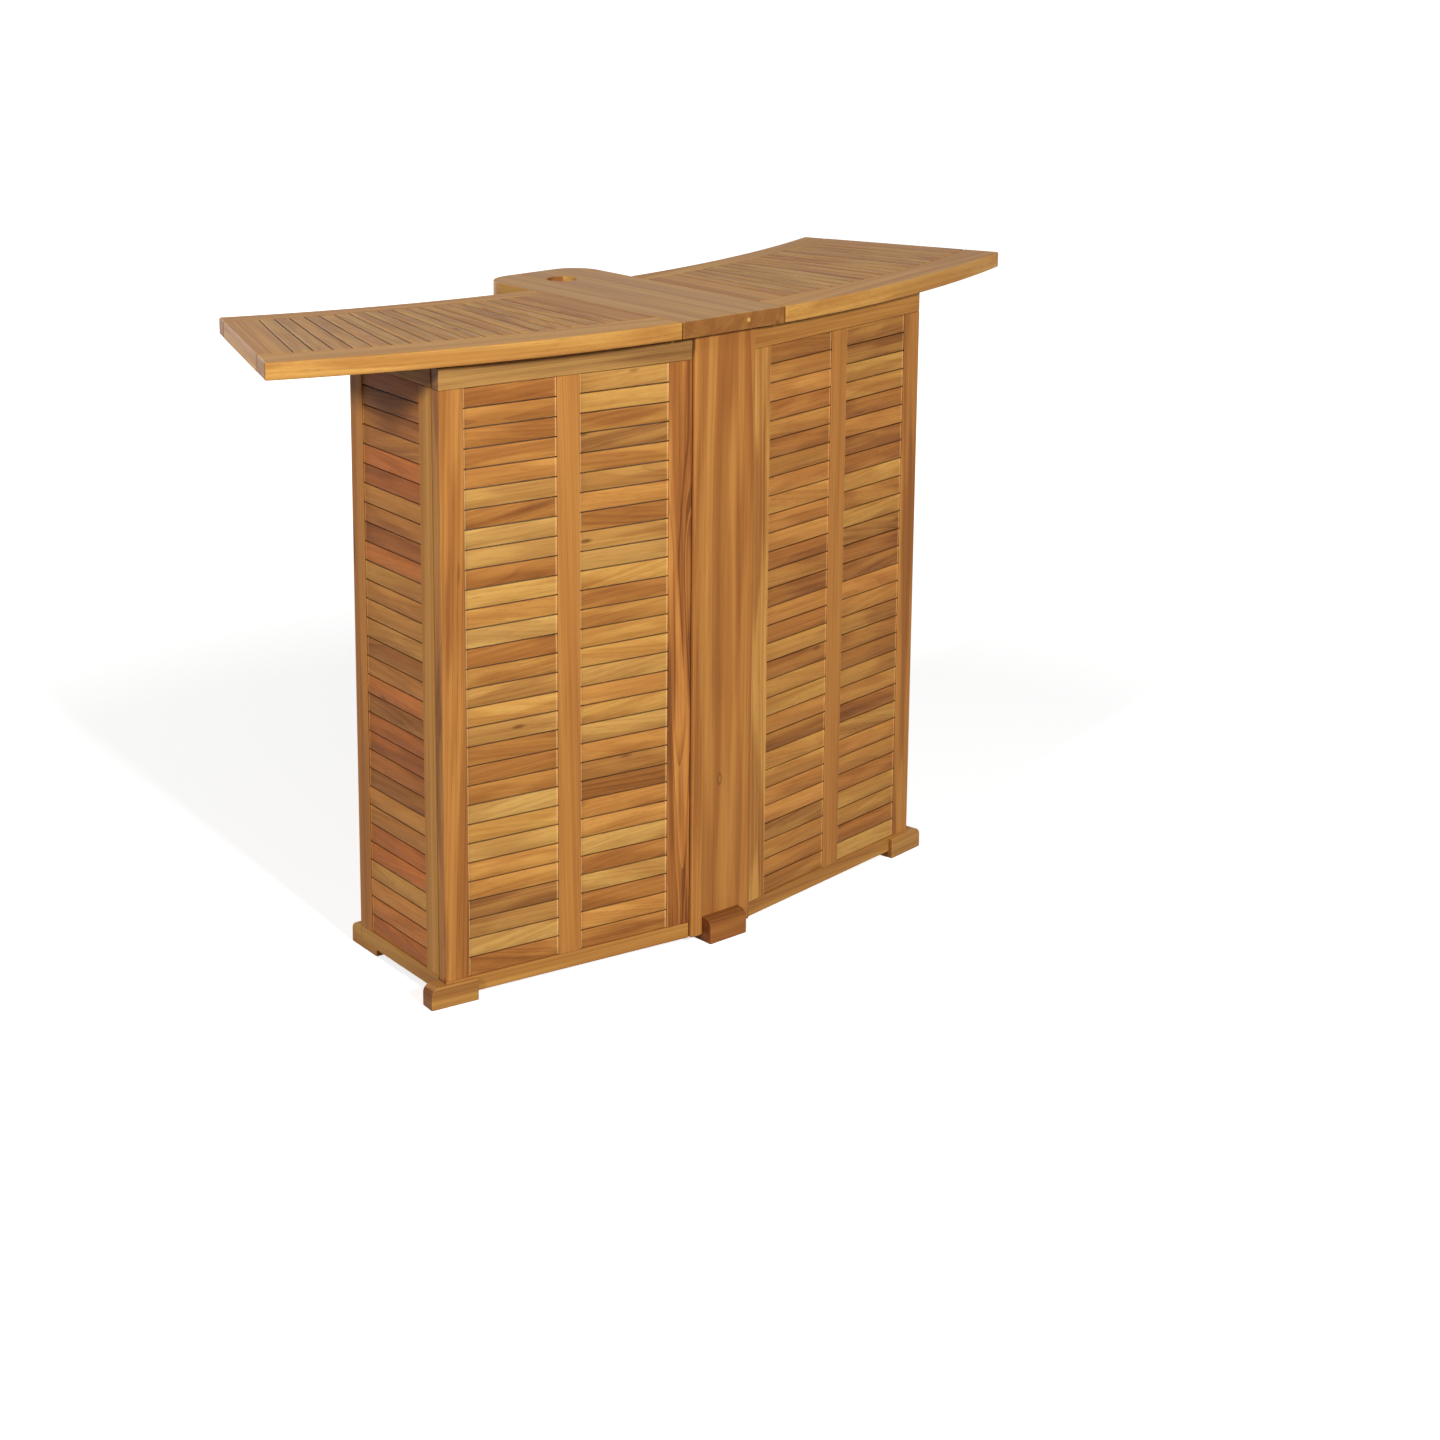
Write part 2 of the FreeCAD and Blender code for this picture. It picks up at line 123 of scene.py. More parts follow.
def teakMaterial(name, sheen, post=None):
    look = teakLook
    material = bpy.data.materials.new(name)
    material.use_nodes = True
    tree = material.node_tree
    tree.nodes.clear()
    grain = addNode(tree, "ShaderNodeAttribute", attribute_name="grain").outputs["Vector"]
    tone = addNode(tree, "ShaderNodeAttribute", attribute_name="tone").outputs["Fac"]
    endGrain = addNode(tree, "ShaderNodeAttribute", attribute_name="endGrain").outputs["Fac"]

    def stretched(vector, length, width):
        scale = (1 / length, 1 / width, 1 / width)
        return addNode(tree, "ShaderNodeVectorMath", {0: vector, 1: scale}, operation="MULTIPLY").outputs[0]

    wobble = addNode(tree, "ShaderNodeTexNoise", {
        "Vector": stretched(grain, look["wobbleLength"], look["wobbleWidth"]), "Scale": 1.0, "Detail": 2.0})
    reach = look["wobbleReach"]
    shift = addNode(tree, "ShaderNodeVectorMath",
                    {0: wobble.outputs["Color"], 1: (0, reach, reach), 2: (0, -reach / 2, -reach / 2)},
                    operation="MULTIPLY_ADD").outputs[0]
    warped = addNode(tree, "ShaderNodeVectorMath", {0: grain, 1: shift}, operation="ADD").outputs[0]
    crossCut = addNode(tree, "ShaderNodeVectorMath", {0: warped, 1: (0, 1, 1)},
                       operation="MULTIPLY").outputs[0]
    ringRadius = addNode(tree, "ShaderNodeVectorMath", {0: crossCut}, operation="LENGTH").outputs["Value"]
    ringCount = addNode(tree, "ShaderNodeMath", {0: ringRadius, 1: 1 / look["ringSpacing"]},
                        operation="MULTIPLY")
    rings = addNode(tree, "ShaderNodeTexNoise", {
        "W": ringCount.outputs[0], "Scale": 1.0, "Detail": look["ringDetail"],
        "Roughness": look["ringRoughness"]}, noise_dimensions="1D").outputs["Fac"]
    streak = addNode(tree, "ShaderNodeTexNoise", {
        "Vector": stretched(warped, look["streakLength"], look["streakWidth"]), "Scale": 1.0,
        "Detail": look["streakDetail"], "Roughness": look["streakRoughness"]}).outputs["Fac"]
    bandNoise = addNode(tree, "ShaderNodeTexNoise", {
        "Vector": stretched(warped, look["bandLength"], look["bandWidth"]), "Scale": 1.0,
        "Detail": 1.0}).outputs["Fac"]
    band = addNode(tree, "ShaderNodeMapRange", {
        "Value": bandNoise, "From Min": look["bandSharpness"][0], "From Max": look["bandSharpness"][1]},
        interpolation_type="SMOOTHSTEP").outputs[0]
    poreNoise = addNode(tree, "ShaderNodeTexNoise", {
        "Vector": stretched(warped, look["poreLength"], look["poreWidth"]), "Scale": 1.0,
        "Detail": 1.0}).outputs["Fac"]
    pores = addNode(tree, "ShaderNodeMapRange", {
        "Value": poreNoise, "From Min": look["poreSharpness"][0],
        "From Max": look["poreSharpness"][1]}).outputs[0]

    uneven = addNode(tree, "ShaderNodeMath", {0: rings, 1: look["lineWander"]},
                     operation="MULTIPLY").outputs[0]
    lineCount = addNode(tree, "ShaderNodeMath", {0: ringRadius, 1: 1 / look["lineSpacing"], 2: uneven},
                        operation="MULTIPLY_ADD").outputs[0]
    season = addNode(tree, "ShaderNodeMath", {0: lineCount}, operation="FRACT").outputs[0]
    lines = addNode(tree, "ShaderNodeMapRange", {
        "Value": season, "From Min": look["lineStart"], "From Max": 1.0},
        interpolation_type="SMOOTHSTEP").outputs[0]
    patterns = ((rings, look["ringAmount"]), (lines, look["lineAmount"]), (streak, look["streakAmount"]),
                (band, look["bandAmount"]))
    figure = -sum(amount for pattern, amount in patterns) / 2
    for pattern, amount in patterns:
        figure = addNode(tree, "ShaderNodeMath", {0: pattern, 1: amount, 2: figure},
                         operation="MULTIPLY_ADD").outputs[0]
    bold = addNode(tree, "ShaderNodeAttribute", attribute_name="bold").outputs["Fac"]
    strength = addNode(tree, "ShaderNodeMath", {0: bold, 1: 1.0}, operation="ADD").outputs[0]
    hue = addNode(tree, "ShaderNodeAttribute", attribute_name="hue").outputs["Fac"]
    greener = addNode(tree, "ShaderNodeMath", {0: hue, 1: 0.0}, operation="MAXIMUM").outputs[0]
    darker = addNode(tree, "ShaderNodeMath", {0: greener, 1: look["oliveDarkens"], 2: tone},
                     operation="MULTIPLY_ADD").outputs[0]
    value = addNode(tree, "ShaderNodeMath", {0: figure, 1: strength, 2: darker},
                    operation="MULTIPLY_ADD").outputs[0]
    colour = addNode(tree, "ShaderNodeValToRGB", {"Fac": value}, look["stops"]).outputs["Color"]
    redder = addNode(tree, "ShaderNodeMath", {0: hue, 1: -1.0}, operation="MULTIPLY").outputs[0]
    for share, tint in ((greener, look["oliveColour"]), (redder, look["redColour"])):
        colour = addNode(tree, "ShaderNodeMix", {0: share, 6: colour, 7: linear(tint)}, data_type="RGBA",
                         blend_type="COLOR").outputs[2]
    spread = stretched(warped, *look["knotSpacing"])
    fromKnot = addNode(tree, "ShaderNodeTexVoronoi", {"Vector": spread, "Scale": 1.0}).outputs["Distance"]
    knot = addNode(tree, "ShaderNodeMapRange", {
        "Value": fromKnot, "From Min": look["knotReach"][0], "From Max": look["knotReach"][1],
        "To Min": look["knotShare"], "To Max": 0.0}).outputs[0]
    colour = addNode(tree, "ShaderNodeMix", {0: knot, 6: colour, 7: linear(look["poreColour"])},
                     data_type="RGBA").outputs[2]
    if post:
        colour = postFigure(tree, colour, streak, post)
    poreShare = addNode(tree, "ShaderNodeMath", {0: pores, 1: look["poreShare"]},
                        operation="MULTIPLY").outputs[0]
    colour = addNode(tree, "ShaderNodeMix", {0: poreShare, 6: colour, 7: linear(look["poreColour"])},
                     data_type="RGBA").outputs[2]
    endShare = addNode(tree, "ShaderNodeMath", {0: endGrain, 1: look["endShare"]},
                       operation="MULTIPLY").outputs[0]
    colour = addNode(tree, "ShaderNodeMix", {0: endShare, 6: colour, 7: linear(look["endColour"])},
                     data_type="RGBA", blend_type="MULTIPLY").outputs[2]

    # Painted highlight: a pale line at the visible end of each slat, standing in for the light that the eased
    # end arrises catch.
    along = addNode(tree, "ShaderNodeAttribute", attribute_name="along").outputs["Fac"]
    length = addNode(tree, "ShaderNodeAttribute", attribute_name="length").outputs["Fac"]
    rest = addNode(tree, "ShaderNodeMath", {0: length, 1: along}, operation="SUBTRACT").outputs[0]
    fromEnd = addNode(tree, "ShaderNodeMath", {0: along, 1: rest}, operation="MINIMUM").outputs[0]
    paintedEndHighlight = addNode(tree, "ShaderNodeMath", {0: fromEnd, 1: look["endHighlightAt"], 2: look["endHighlightReach"]},
                     operation="COMPARE").outputs[0]
    endHighlightShare = addNode(tree, "ShaderNodeMath", {0: paintedEndHighlight, 1: look["endHighlightShare"]},
                          operation="MULTIPLY").outputs[0]
    colour = addNode(tree, "ShaderNodeMix", {0: endHighlightShare, 6: colour, 7: linear(look["endHighlightColour"])},
                     data_type="RGBA").outputs[2]

    # Painted shade: the faces looking into the gaps between slats are darkened.
    inGap = addNode(tree, "ShaderNodeAttribute", attribute_name="inGap").outputs["Fac"]
    gapShadeShare = addNode(tree, "ShaderNodeMath", {0: inGap, 1: look["gapShadeShare"]},
                       operation="MULTIPLY").outputs[0]
    colour = addNode(tree, "ShaderNodeMix", {0: gapShadeShare, 6: colour, 7: linear(look["gapShadeColour"])},
                     data_type="RGBA").outputs[2]

    rough = addNode(tree, "ShaderNodeMapRange", {
        "Value": streak, "From Min": look["roughFrom"][0], "From Max": look["roughFrom"][1],
        "To Min": look["roughness"][0], "To Max": look["roughness"][1]}).outputs[0]
    relief = addNode(tree, "ShaderNodeMath", {0: pores, 1: look["poreRelief"], 2: streak},
                     operation="MULTIPLY_ADD").outputs[0]
    bump = addNode(tree, "ShaderNodeBump", {"Height": relief, "Strength": look["bumpStrength"],
                                            "Distance": look["bumpDepth"]})
    shader = addNode(tree, "ShaderNodeBsdfPrincipled", {
        "Base Color": colour, "Roughness": rough, "Normal": bump.outputs[0], "IOR": look["ior"],
        "Specular IOR Level": sheen})
    addNode(tree, "ShaderNodeOutputMaterial", {"Surface": shader.outputs[0]})
    return material


def postFigure(tree, colour, streak, post):
    place = addNode(tree, "ShaderNodeTexCoord").outputs["Object"]
    parts = addNode(tree, "ShaderNodeSeparateXYZ", {0: place}).outputs
    wander = addNode(tree, "ShaderNodeTexNoise", {"W": parts["Z"], "Scale": post["wandersPerMetre"],
                                                  "Detail": 1.0}, noise_dimensions="1D")
    wandered = addNode(tree, "ShaderNodeMath", {
        0: wander.outputs["Fac"], 1: post["sapWander"], 2: post["sapEdge"] - post["sapWander"] / 2},
        operation="MULTIPLY_ADD")
    taper = addNode(tree, "ShaderNodeMapRange", {
        "Value": parts["Z"], "From Min": post["sapEnd"], "From Max": post["sapTop"],
        "To Min": post["sapTaper"], "To Max": 0.0})
    edge = addNode(tree, "ShaderNodeMath", {0: wandered.outputs[0], 1: taper.outputs[0]},
                   operation="ADD").outputs[0]
    past = addNode(tree, "ShaderNodeMath", {0: parts["X"], 1: edge}, operation="SUBTRACT").outputs[0]
    sap = addNode(tree, "ShaderNodeMapRange", {"Value": past, "From Min": 0.0,
                                               "From Max": post["sapBlur"]}).outputs[0]
    heart = addNode(tree, "ShaderNodeMapRange", {"Value": past, "From Min": -post["heartWidth"],
                                                 "From Max": 0.0, "To Max": post["heartShare"]}).outputs[0]
    streaked = addNode(tree, "ShaderNodeMath", {0: heart, 1: streak}, operation="MULTIPLY").outputs[0]
    colour = addNode(tree, "ShaderNodeMix", {0: streaked, 6: colour, 7: linear(post["heartColour"])},
                     data_type="RGBA").outputs[2]
    sapShare = addNode(tree, "ShaderNodeMath", {0: sap, 1: post["sapShare"]}, operation="MULTIPLY").outputs[0]
    colour = addNode(tree, "ShaderNodeMix", {0: sapShare, 6: colour, 7: linear(post["sapColour"])},
                     data_type="RGBA").outputs[2]
    across, high = post["markAt"]
    wide, tall = post["markSize"]
    near = addNode(tree, "ShaderNodeVectorMath", {0: place, 1: (-across, 0, -high)},
                   operation="ADD").outputs[0]
    scaled = addNode(tree, "ShaderNodeVectorMath", {0: near, 1: (1 / wide, 0, 1 / tall)},
                     operation="MULTIPLY").outputs[0]
    reach = addNode(tree, "ShaderNodeVectorMath", {0: scaled}, operation="LENGTH").outputs["Value"]
    rim = addNode(tree, "ShaderNodeMath", {0: reach, 1: -1.0}, operation="ADD").outputs[0]
    away = addNode(tree, "ShaderNodeMath", {0: rim}, operation="ABSOLUTE").outputs[0]
    mark = addNode(tree, "ShaderNodeMapRange", {
        "Value": away, "From Min": post["markRim"][0], "From Max": post["markRim"][1],
        "To Min": post["markShare"], "To Max": 0.0}).outputs[0]
    return addNode(tree, "ShaderNodeMix", {0: mark, 6: colour, 7: linear(post["markColour"])},
                   data_type="RGBA").outputs[2]


# Zinc-plated steel, pressed and rolled: a soft grey sheen with fine lines along the strip.
metalLook = dict(stops=((0.3, "#A39C92"), (0.7, "#B4ADA2")), lineWidth=0.8 * mm, lineLength=40 * mm,
                 cloudsPerMetre=90.0, roughness=(0.26, 0.5), bumpStrength=0.12, bumpDepth=0.1 * mm)


def hingeMaterial():
    material = bpy.data.materials.new("zincPlatedSteel")
    material.use_nodes = True
    tree = material.node_tree
    tree.nodes.clear()
    place = addNode(tree, "ShaderNodeTexCoord").outputs["Object"]
    scale = (1 / metalLook["lineWidth"], 1 / metalLook["lineWidth"], 1 / metalLook["lineLength"])
    stretched = addNode(tree, "ShaderNodeVectorMath", {0: place, 1: scale}, operation="MULTIPLY").outputs[0]
    lines = addNode(tree, "ShaderNodeTexNoise", {"Vector": stretched, "Scale": 1.0,
                                                 "Detail": 2.0}).outputs["Fac"]
    cloud = addNode(tree, "ShaderNodeTexNoise", {"Vector": place, "Scale": metalLook["cloudsPerMetre"],
                                                 "Detail": 2.0}).outputs["Fac"]
    tint = addNode(tree, "ShaderNodeValToRGB", {"Fac": cloud}, metalLook["stops"]).outputs["Color"]
    rough = addNode(tree, "ShaderNodeMapRange", {"Value": lines, "To Min": metalLook["roughness"][0],
                                                 "To Max": metalLook["roughness"][1]}).outputs[0]
    bump = addNode(tree, "ShaderNodeBump", {"Height": lines, "Strength": metalLook["bumpStrength"],
                                            "Distance": metalLook["bumpDepth"]})
    shader = addNode(tree, "ShaderNodeBsdfPrincipled", {
        "Base Color": tint, "Roughness": rough, "Metallic": 1.0, "Normal": bump.outputs[0]})
    addNode(tree, "ShaderNodeOutputMaterial", {"Surface": shader.outputs[0]})
    return material


teak = teakMaterial("oiledTeak", teakLook["sheen"])
ownTeak = {"centre_board": teakMaterial("oiledTeakBoard", teakLook["boardSheen"]),
           "centre_post": teakMaterial("oiledTeakPost", teakLook["sheen"], postLook)}
zinc = hingeMaterial()
print("materials made")


def sideOf(node):
    return next((sides[s] for s in sides if node.startswith(s + "_")), 0)


def pieceName(node):
    return node.split("_", 1)[1] if sideOf(node) else node


def runOf(way, side):
    turn = {"panel": plan["panelTurn"], "wing": plan["wingTurn"], "chord": plan["leafChord"],
            "end": plan["leafEnd"] - math.pi / 2, "x": 0.0}.get(way)
    if turn is not None:
        return Vector(((side or 1) * math.cos(turn), math.sin(turn), 0))
    return Vector((0, 1, 0)) if way == "y" else Vector((0, 0, 1))


# Each solid wooden piece: which way its grain runs, how dark it is, and how far its arrises are eased, in mm.
solidWood = {
    "centre_board": dict(run="y", tone=0.49, arris=2.5, bold=-0.3, hue=0.05, plugged=True),
    "centre_post": dict(run="z", tone=0.585, arris=2.0, straight=2.5, hue=-0.3, bold=0.1),
    "centre_foot": dict(run="x", tone=0.92, arris=2.0, hue=-0.3),
    "rear_upright": dict(run="z", tone=0.50, arris=2.0),
    "centre_bearer": dict(run="y", tone=0.45, arris=1.5),
    "centre_stretcher": dict(run="y", tone=0.55, arris=1.5),
    "leaf_front_rail": dict(run="chord", tone=0.40, arris=2.5, hue=-0.1),
    "leaf_back_rail": dict(run="chord", tone=0.44, arris=2.5, hue=-0.1),
    "leaf_inner_rail": dict(run="y", tone=0.48, arris=1.2, hue=-0.1),
    "leaf_end_rail": dict(run="end", tone=0.46, arris=1.8, hue=-0.1),
    "panel_top_rail": dict(run="panel", tone=0.59, arris=1.5, hue=0.35, bold=0.1),
    "panel_bottom_rail": dict(run="panel", tone=0.54, arris=1.5),
    "panel_inner_stile": dict(run="z", tone=0.56, arris=1.5, straight=1.6, bold=1.2, hue=-0.1),
    "panel_mullion": dict(run="z", tone=0.53, arris=1.2, hue=-0.3, bold=-0.4),
    "panel_outer_stile": dict(run="z", tone=0.60, arris=1.8, straight=2.0, bold=0.3, hue=-0.3),
    "panel_foot": dict(run="panel", tone=0.64, arris=1.8, hue=0.1),
    # The wing top rail's darker tone is painted shade from the leaf above it.
    "wing_top_rail": dict(run="wing", tone=0.66, arris=1.5),
    "wing_bottom_rail": dict(run="wing", tone=0.50, arris=1.5),
    "wing_front_stile": dict(run="z", tone=0.50, arris=1.5),
    "wing_rear_stile": dict(run="z", tone=0.52, arris=1.5),
    "wing_foot": dict(run="wing", tone=0.56, arris=1.8),
}
# Pieces that stand out from their kind in tone or tint.
ownWood = {
    "left_panel_inner_stile": dict(tone=0.64, hue=-0.45),
    "right_panel_inner_stile": dict(tone=0.47, bold=0.8, hue=-0.2),
    "right_panel_top_rail": dict(tone=0.52, bold=0.3, hue=-0.1),
    "left_wing_front_stile": dict(tone=0.38, hue=-0.25),
    "left_wing_rear_stile": dict(hue=-0.4),
}
dressing = dict(seed=23, mergeGap=0.01 * mm, flatAngle=math.radians(0.3), sharpAngle=math.radians(30),
                smoothAngle=math.radians(12), bevelSegments=2, toneSpread=0.05, endFacing=0.75,
                straightness=3.5,  # long pieces are picked for straight grain, so their figure is drawn out
                heartAway=(0.03, 0.12), lean=0.03, startReach=5)  # where in the trunk a piece was cut; metres
draw = random.Random(dressing["seed"])


def markGrain(mesh, run, look):
    across = run.cross(Vector((0, 0, 1))) if abs(run.z) < 0.5 else Vector((1, 0, 0))
    deep = run.cross(across)
    middle = sum((v.co for v in mesh.vertices), Vector()) / len(mesh.vertices)
    straight = look.get("straight", dressing["straightness"])
    away = draw.uniform(*dressing["heartAway"])  # how far the tree's heart lay from this piece, and which way
    aside = math.radians(draw.uniform(0, 360))
    lean = draw.uniform(-dressing["lean"], dressing["lean"])
    start = draw.uniform(0, dressing["startReach"])
    places = []
    for vertex in mesh.vertices:
        off = vertex.co - middle
        along = off.dot(run)
        places += [along / straight + start, off.dot(across) + away * math.cos(aside) + lean * along,
                   off.dot(deep) + away * math.sin(aside)]
    mesh.attributes.new("grain", "FLOAT_VECTOR", "POINT").data.foreach_set("vector", places)
    for name in ("tone", "hue", "bold"):
        values = [look.get(name, 0.0)] * len(mesh.vertices)
        mesh.attributes.new(name, "FLOAT", "POINT").data.foreach_set("value", values)
    ends = [1.0 if abs(face.normal.dot(run)) > dressing["endFacing"] else 0.0 for face in mesh.polygons]
    mesh.attributes.new("endGrain", "FLOAT", "FACE").data.foreach_set("value", ends)


def addPiece(name, mesh, material, body, slot, *nodes):
    mesh.materials.clear()
    mesh.materials.append(material)
    piece = bpy.data.objects.new(name, mesh)
    scene.collection.objects.link(piece)
    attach(piece, body)
    if nodes:
        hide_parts(*nodes)


# A pale round plug, let into the board's front end a hair below the surface.
plugLook = dict(at=(0.0295, 1.0328), radius=3.6 * mm, depth=3 * mm, edge=0.4 * mm, sunk=0.1 * mm,
                fit=0.05 * mm, sides=24, tone=0.1, hue=0.15)


def plugCylinder(name, radius, depth, edge):
    bm = bmesh.new()
    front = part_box("centre_board")[0].y
    x, z = plugLook["at"]
    place = Matrix.Translation((x, front, z)) @ Matrix.Rotation(math.pi / 2, 4, "X")
    bmesh.ops.create_cone(bm, cap_ends=True, segments=plugLook["sides"], radius1=radius, radius2=radius,
                          depth=2 * depth, matrix=place)
    if edge:
        rim = [e for e in bm.edges if e.calc_face_angle() > dressing["sharpAngle"]]
        bmesh.ops.bevel(bm, geom=rim, offset=edge, segments=2, profile=0.5, affect="EDGES")
    mesh = bpy.data.meshes.new(name)
    bm.to_mesh(mesh)
    bm.free()
    return mesh


def cutPlugHole(mesh):
    board = bpy.data.objects.new("boardBlank", mesh)
    drill = bpy.data.objects.new("plugDrill", plugCylinder("plugDrill", plugLook["radius"] + plugLook["fit"],
                                                           plugLook["depth"], 0))
    for obj in (board, drill):
        scene.collection.objects.link(obj)
    cut = board.modifiers.new("plugHole", "BOOLEAN")
    cut.object, cut.operation, cut.solver = drill, "DIFFERENCE", "EXACT"
    drilled = bpy.data.meshes.new_from_object(board.evaluated_get(bpy.context.evaluated_depsgraph_get()))
    board.modifiers.remove(cut)
    for obj in (board, drill):
        bpy.data.objects.remove(obj)
    return drilled


def makePlug():
    mesh = plugCylinder("board_plug", plugLook["radius"], plugLook["depth"] / 2, plugLook["edge"])
    mesh.transform(Matrix.Translation((0, plugLook["depth"] / 2 + plugLook["sunk"], 0)))
    markGrain(mesh, Vector((1, 0, 0)), plugLook)
    addPiece("board_plug", mesh, teak, "centre_stand", "teak")


def dressWood(node):
    look = {**solidWood[pieceName(node)], **ownWood.get(node, {})}
    look["tone"] += draw.uniform(-1, 1) * dressing["toneSpread"]
    bm = bmesh.new()
    bm.from_mesh(frame["nodes"][node].data)
    bmesh.ops.remove_doubles(bm, verts=bm.verts, dist=dressing["mergeGap"])
    bmesh.ops.dissolve_limit(bm, angle_limit=dressing["flatAngle"], use_dissolve_boundaries=False,
                             verts=bm.verts, edges=bm.edges)
    sharp = [edge for edge in bm.edges
             if len(edge.link_faces) == 2 and edge.calc_face_angle() > dressing["sharpAngle"]]
    bmesh.ops.bevel(bm, geom=sharp, offset=look["arris"] * mm, offset_type="OFFSET", profile=0.5,
                    segments=dressing["bevelSegments"], affect="EDGES", clamp_overlap=True)
    mesh = bpy.data.meshes.new("wood_" + node)
    bm.to_mesh(mesh)
    bm.free()
    if look.get("plugged"):
        mesh = cutPlugHole(mesh)
    mesh.shade_smooth()
    mesh.set_sharp_from_angle(angle=dressing["smoothAngle"])
    markGrain(mesh, runOf(look["run"], sideOf(node)), look)
    addPiece("wood_" + node, mesh, ownTeak.get(node, teak), bodyOf[node], "teak", node)


for node in sorted(frame["nodes"]):
    if pieceName(node) in solidWood:
        dressWood(node)
makePlug()
print("solid wood dressed:", len(solidWood), "kinds of piece")


def newTree(name, sizes):
    tree = bpy.data.node_groups.new(name, "GeometryNodeTree")
    tree.interface.new_socket("Geometry", in_out="INPUT", socket_type="NodeSocketGeometry")
    for label, kind in sizes.items():
        tree.interface.new_socket(label, in_out="INPUT", socket_type="NodeSocket" + kind)
    tree.interface.new_socket("Geometry", in_out="OUTPUT", socket_type="NodeSocketGeometry")
    return tree, addNode(tree, "NodeGroupInput").outputs


def endTree(tree, geometry, material):
    real = addNode(tree, "GeometryNodeRealizeInstances", {"Geometry": geometry})
    painted = addNode(tree, "GeometryNodeSetMaterial", {"Geometry": real.outputs[0], "Material": material})
    addNode(tree, "NodeGroupOutput", {0: painted.outputs[0]})


def grow(tree, name, values, base=None):
    holder = bpy.data.objects.new(name + "_maker", base or bpy.data.meshes.new(name + "_base"))
    scene.collection.objects.link(holder)
    modifier = holder.modifiers.new("maker", "NODES")
    modifier.node_group = tree
    for item in tree.interface.items_tree:
        if item.in_out == "INPUT" and item.name in values:
            modifier[item.identifier] = values[item.name]
    graph = bpy.context.evaluated_depsgraph_get()
    mesh = bpy.data.meshes.new_from_object(holder.evaluated_get(graph))
    mesh.name = name
    holder.modifiers.remove(modifier)
    bpy.data.objects.remove(holder)
    return mesh


# Slats of the panels and wings: eased along their long edges, each of its own tone and very slightly tipped.
slatLook = dict(count=30, gap=1.8 * mm, arris=0.7 * mm, tipped=math.radians(0.9), darkest=0.80, palest=0.30,
                seeds={"panel_inner_slats": 5, "panel_outer_slats": 14, "wing_slats": 32},
                hues={"panel": {-1: -0.05, 1: -0.2}, "wing": {-1: -0.68, 1: -0.4}},
                hueSpread={"panel": 0.27, "wing": 0.48}, gapFacing=0.9, hueSeedStep=50.0,
                shiftLow=(0, -0.10, -0.10), shiftHigh=(6, 0.10, 0.10))  # where in the trunk each was cut


def slatTree():
    tree, given = newTree("slatColumn", {
        "Count": "Int", "Pitch": "Float", "Length": "Float", "Thickness": "Float", "Height": "Float",
        "Arris": "Float", "Tip": "Float", "Palest": "Float", "Darkest": "Float", "Reddest": "Float",
        "Greenest": "Float", "Seed": "Int", "Origin": "Vector", "Turn": "Rotation"})
    outline = addNode(tree, "GeometryNodeCurvePrimitiveQuadrilateral", {"Width": given["Thickness"],
                                                                       "Height": given["Height"]})
    eased = addNode(tree, "GeometryNodeFilletCurve", {"Curve": outline.outputs[0], "Count": 2,
                                                      "Radius": given["Arris"]}, mode="POLY")
    far = addNode(tree, "ShaderNodeCombineXYZ", {"X": given["Length"]})
    line = addNode(tree, "GeometryNodeCurvePrimitiveLine", {"End": far.outputs[0]})
    slat = addNode(tree, "GeometryNodeCurveToMesh", {
        "Curve": line.outputs[0], "Profile Curve": eased.outputs[0], "Fill Caps": True})
    place = addNode(tree, "GeometryNodeInputPosition").outputs[0]
    slat = addNode(tree, "GeometryNodeStoreNamedAttribute", {"Geometry": slat.outputs[0], "Name": "grain",
                                                             "Value": place}, data_type="FLOAT_VECTOR")
    alongSlat = addNode(tree, "ShaderNodeSeparateXYZ", {0: place}).outputs["X"]
    for name, value in (("along", alongSlat), ("length", given["Length"])):
        slat = addNode(tree, "GeometryNodeStoreNamedAttribute", {"Geometry": slat.outputs[0], "Name": name,
                                                                 "Value": value})
    marked = markGaps(tree, slat.outputs[0], "Z")
    step = addNode(tree, "ShaderNodeCombineXYZ", {"Z": given["Pitch"]})
    stack = addNode(tree, "GeometryNodeMeshLine", {"Count": given["Count"], "Offset": step.outputs[0]})
    least = addNode(tree, "ShaderNodeMath", {0: given["Tip"], 1: -1.0}, operation="MULTIPLY")
    tip = addNode(tree, "FunctionNodeRandomValue", {2: least.outputs[0], 3: given["Tip"],
                                                    "Seed": given["Seed"]})
    tipped = addNode(tree, "ShaderNodeCombineXYZ", {"X": tip.outputs[1]})
    placed = addNode(tree, "GeometryNodeInstanceOnPoints", {"Points": stack.outputs[0], "Instance": marked,
                                                            "Rotation": tipped.outputs[0]})
    moved = addOwnWood(tree, placed.outputs[0], given)
    turned = addNode(tree, "GeometryNodeTransform", {"Geometry": moved, "Translation": given["Origin"],
                                                     "Rotation": given["Turn"]})
    endTree(tree, turned.outputs[0], teak)
    return tree


# Marks the long side faces, which look into the gaps between slats and are given painted shade.
def markGaps(tree, geometry, axis):
    normal = addNode(tree, "GeometryNodeInputNormal").outputs[0]
    facing = addNode(tree, "ShaderNodeSeparateXYZ", {0: normal}).outputs[axis]
    turned = addNode(tree, "ShaderNodeMath", {0: facing}, operation="ABSOLUTE").outputs[0]
    inGap = addNode(tree, "ShaderNodeMath", {0: turned, 1: slatLook["gapFacing"]},
                    operation="GREATER_THAN").outputs[0]
    return addNode(tree, "GeometryNodeStoreNamedAttribute", {
        "Geometry": geometry, "Name": "inGap", "Value": inGap}, domain="FACE").outputs[0]


